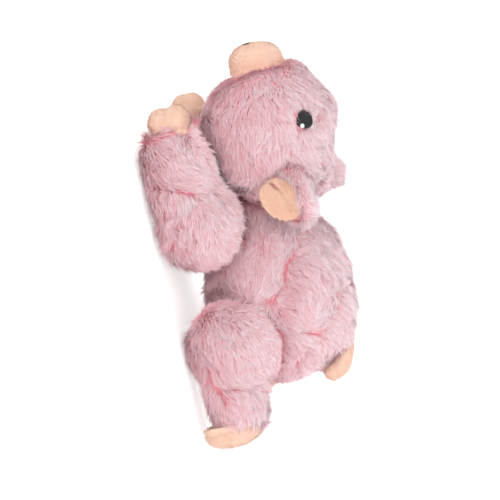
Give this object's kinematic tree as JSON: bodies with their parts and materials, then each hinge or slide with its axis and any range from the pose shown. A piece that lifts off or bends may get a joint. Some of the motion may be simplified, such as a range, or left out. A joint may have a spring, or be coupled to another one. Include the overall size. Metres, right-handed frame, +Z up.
{
  "type": "plush pig dog toy",
  "caption": "Stuffed plush pig for a dog, lying on its belly, with a padded snout, floppy ears, cloven hooves, a tail and a squeaker in its body.",
  "frame": {"origin": "on the surface that the toy lies on, below the middle of its bounding box", "axes": "+Z up through the pig's back, -X the way its snout points, -Y its left side"},
  "size_m": [0.2672, 0.13, 0.1356],
  "materials": {
    "pile_cloth": "long pink pile, about 8 mm, combed",
    "nap_cloth": "short peach nap",
    "stuffing": "white fibre filling",
    "black_thread": "dense satin-stitch embroidery",
    "white_thread": "dense satin-stitch embroidery",
    "squeaker_plastic": "thin moulded plastic"
  },
  "bodies": {
    "torso": {"torso_skin": "pile_cloth", "torso_stuffing": "stuffing", "squeaker_bulb": "squeaker_plastic", "squeaker_reed": "squeaker_plastic"},
    "head": {"head_skin": "pile_cloth", "head_stuffing": "stuffing", "snout_cover": "nap_cloth", "snout_stuffing": "stuffing", "nostril_left": "black_thread", "nostril_right": "black_thread", "eye_left": "black_thread", "eye_right": "black_thread", "eye_glint_left": "white_thread", "eye_glint_right": "white_thread"},
    "ear_left": {"ear_back_left": "pile_cloth", "ear_lining_left": "nap_cloth"},
    "ear_right": {"ear_back_right": "pile_cloth", "ear_lining_right": "nap_cloth"},
    "front_leg_left": {"front_leg_left": "pile_cloth", "front_leg_left_stuffing": "stuffing", "front_hoof_left": "nap_cloth"},
    "front_leg_right": {"front_leg_right": "pile_cloth", "front_leg_right_stuffing": "stuffing", "front_hoof_right": "nap_cloth"},
    "rear_leg_left": {"rear_leg_left": "pile_cloth", "rear_leg_left_stuffing": "stuffing", "rear_hoof_left": "nap_cloth"},
    "rear_leg_right": {"rear_leg_right": "pile_cloth", "rear_leg_right_stuffing": "stuffing", "rear_hoof_right": "nap_cloth"},
    "tail": {"tail": "nap_cloth"}
  },
  "joints": [
    {"name": "neck_nod", "type": "hinge", "parent": "torso", "child": "head", "pos_m": [-0.0279, 0, 0.098], "axis": [0, 1, 0], "range_deg": [0, 25], "stiffness_Nm_per_rad": 0.5},
    {"name": "ear_flap_left", "type": "hinge", "parent": "head", "child": "ear_left", "pos_m": [-0.0458, -0.0408, 0.1], "axis": [0, 0, -1], "range_deg": [0, 50], "stiffness_Nm_per_rad": 0.01},
    {"name": "ear_flap_right", "type": "hinge", "parent": "head", "child": "ear_right", "pos_m": [-0.0493, 0.041, 0.1], "axis": [0, 0, 1], "range_deg": [0, 50], "stiffness_Nm_per_rad": 0.01},
    {"name": "front_leg_swing_left", "type": "hinge", "parent": "torso", "child": "front_leg_left", "pos_m": [-0.0194, -0.043, 0.029], "axis": [0, -1, 0], "range_deg": [0, 80], "stiffness_Nm_per_rad": 0.3},
    {"name": "front_leg_swing_right", "type": "hinge", "parent": "torso", "child": "front_leg_right", "pos_m": [-0.0194, 0.043, 0.029], "axis": [0, -1, 0], "range_deg": [0, 80], "stiffness_Nm_per_rad": 0.3},
    {"name": "rear_leg_swing_left", "type": "hinge", "parent": "torso", "child": "rear_leg_left", "pos_m": [0.0676, -0.043, 0.0305], "axis": [0, 1, 0], "range_deg": [0, 80], "stiffness_Nm_per_rad": 0.3},
    {"name": "rear_leg_swing_right", "type": "hinge", "parent": "torso", "child": "rear_leg_right", "pos_m": [0.0676, 0.043, 0.0305], "axis": [0, 1, 0], "range_deg": [0, 80], "stiffness_Nm_per_rad": 0.3},
    {"name": "tail_lift", "type": "hinge", "parent": "torso", "child": "tail", "pos_m": [0.081, 0, 0.1052], "axis": [0, -1, 0], "range_deg": [0, 70], "stiffness_Nm_per_rad": 0.01}
  ]
}
